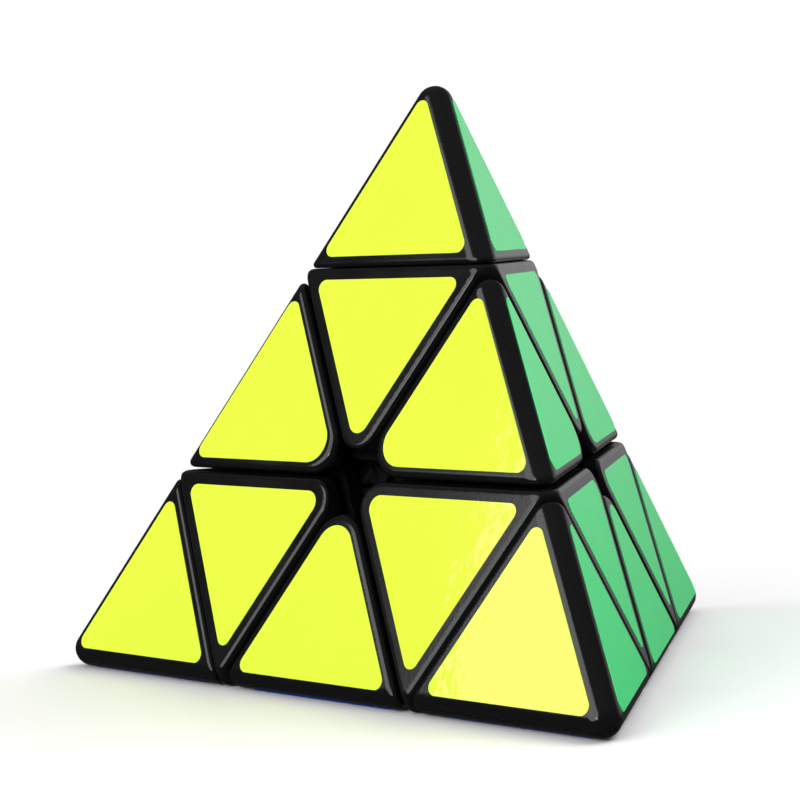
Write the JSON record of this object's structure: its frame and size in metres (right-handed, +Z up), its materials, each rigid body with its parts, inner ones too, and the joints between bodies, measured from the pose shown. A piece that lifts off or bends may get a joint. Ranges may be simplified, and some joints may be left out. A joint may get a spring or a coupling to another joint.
{
  "type": "pyramid twisty puzzle",
  "caption": "Black pyramid-shaped twisty puzzle with coloured triangular stickers, turning corner layers and turning tips on a sprung inner core.",
  "frame": {"origin": "centre of the pyramid, where the four turning axes meet", "axes": "+Z up through the upper vertex; the front (yellow) face looks along -Y; +X runs along the front base ridge from the left vertex to the right vertex"},
  "size_m": [0.098, 0.0852, 0.0805],
  "materials": {
    "black_plastic": "satin black injection-moulded ABS",
    "inner_plastic": "plain moulded black ABS or nylon inside the puzzle",
    "core_plastic": "plain moulded nylon",
    "steel": "zinc-plated steel",
    "spring_steel": "drawn spring wire",
    "sticker_yellow": "smooth fluorescent yellow vinyl sticker",
    "sticker_green": "smooth green vinyl sticker",
    "sticker_blue": "smooth blue vinyl sticker",
    "sticker_red": "smooth red vinyl sticker"
  },
  "bodies": {
    "core": {"core": "core_plastic", "axis_screw_up": "steel", "axis_washer_up": "steel", "axis_spring_up": "spring_steel", "axis_screw_left": "steel", "axis_washer_left": "steel", "axis_spring_left": "spring_steel", "axis_screw_right": "steel", "axis_washer_right": "steel", "axis_spring_right": "spring_steel", "axis_screw_back": "steel", "axis_washer_back": "steel", "axis_spring_back": "spring_steel"},
    "corner_up": {"corner_shell_up": "black_plastic", "corner_hub_up": "inner_plastic"},
    "corner_left": {"corner_shell_left": "black_plastic", "corner_hub_left": "inner_plastic"},
    "corner_right": {"corner_shell_right": "black_plastic", "corner_hub_right": "inner_plastic"},
    "corner_back": {"corner_shell_back": "black_plastic", "corner_hub_back": "inner_plastic"},
    "tip_up": {"tip_cap_up": "black_plastic", "tip_base_up": "inner_plastic"},
    "tip_left": {"tip_cap_left": "black_plastic", "tip_base_left": "inner_plastic"},
    "tip_right": {"tip_cap_right": "black_plastic", "tip_base_right": "inner_plastic"},
    "tip_back": {"tip_cap_back": "black_plastic", "tip_base_back": "inner_plastic"},
    "edge_up_left": {"edge_shell_up_left": "black_plastic", "edge_foot_up_left": "inner_plastic"},
    "edge_up_right": {"edge_shell_up_right": "black_plastic", "edge_foot_up_right": "inner_plastic"},
    "edge_up_back": {"edge_shell_up_back": "black_plastic", "edge_foot_up_back": "inner_plastic"},
    "edge_left_right": {"edge_shell_left_right": "black_plastic", "edge_foot_left_right": "inner_plastic"},
    "edge_right_back": {"edge_shell_right_back": "black_plastic", "edge_foot_right_back": "inner_plastic"},
    "edge_back_left": {"edge_shell_back_left": "black_plastic", "edge_foot_back_left": "inner_plastic"}
  },
  "joints": [
    {"name": "turn_up", "type": "hinge", "parent": "core", "child": "corner_up", "pos_m": [0, 0, 0], "axis": [0, 0, 1], "range_deg": [-120, 120]},
    {"name": "turn_left", "type": "hinge", "parent": "core", "child": "corner_left", "pos_m": [0, 0, 0], "axis": [-0.8165, -0.4714, -0.3333], "range_deg": [-240, 120]},
    {"name": "turn_right", "type": "hinge", "parent": "core", "child": "corner_right", "pos_m": [0, 0, 0], "axis": [0.8165, -0.4714, -0.3333], "range_deg": [-120, 240]},
    {"name": "turn_back", "type": "hinge", "parent": "core", "child": "corner_back", "pos_m": [0, 0, 0], "axis": [0, 0.9428, -0.3333], "range_deg": [-120, 120]},
    {"name": "spin_tip_up", "type": "hinge", "parent": "corner_up", "child": "tip_up", "pos_m": [0, 0, 0.03486], "axis": [0, 0, 1], "continuous": true},
    {"name": "spin_tip_left", "type": "hinge", "parent": "corner_left", "child": "tip_left", "pos_m": [-0.02846, -0.01643, -0.01162], "axis": [-0.8165, -0.4714, -0.3333], "continuous": true},
    {"name": "spin_tip_right", "type": "hinge", "parent": "corner_right", "child": "tip_right", "pos_m": [0.02846, -0.01643, -0.01162], "axis": [0.8165, -0.4714, -0.3333], "continuous": true},
    {"name": "spin_tip_back", "type": "hinge", "parent": "corner_back", "child": "tip_back", "pos_m": [0, 0.03287, -0.01162], "axis": [0, 0.9428, -0.3333], "continuous": true},
    {"name": "carry_up_left", "type": "hinge", "parent": "corner_up", "child": "edge_up_left", "pos_m": [0, 0, 0], "axis": [-0.8165, -0.4714, -0.3333], "range_deg": [-240, 120]},
    {"name": "carry_up_right", "type": "hinge", "parent": "corner_up", "child": "edge_up_right", "pos_m": [0, 0, 0], "axis": [0.8165, -0.4714, -0.3333], "range_deg": [-120, 240]},
    {"name": "carry_up_back", "type": "hinge", "parent": "corner_back", "child": "edge_up_back", "pos_m": [0, 0, 0], "axis": [0, 0, 1], "range_deg": [-120, 120]},
    {"name": "carry_left_right", "type": "hinge", "parent": "corner_left", "child": "edge_left_right", "pos_m": [0, 0, 0], "axis": [0.8165, -0.4714, -0.3333], "range_deg": [-120, 240]},
    {"name": "carry_right_back", "type": "hinge", "parent": "corner_right", "child": "edge_right_back", "pos_m": [0, 0, 0], "axis": [0, 0.9428, -0.3333], "range_deg": [-120, 120]},
    {"name": "carry_back_left", "type": "hinge", "parent": "corner_left", "child": "edge_back_left", "pos_m": [0, 0, 0], "axis": [0, 0.9428, -0.3333], "range_deg": [-120, 120]}
  ],
  "couplings": [
    {"joint": "carry_up_left", "follows": "turn_left", "ratio": 1},
    {"joint": "carry_up_right", "follows": "turn_right", "ratio": 1},
    {"joint": "carry_up_back", "follows": "turn_up", "ratio": 1},
    {"joint": "carry_left_right", "follows": "turn_right", "ratio": 1},
    {"joint": "carry_right_back", "follows": "turn_back", "ratio": 1},
    {"joint": "carry_back_left", "follows": "turn_back", "ratio": 1}
  ]
}
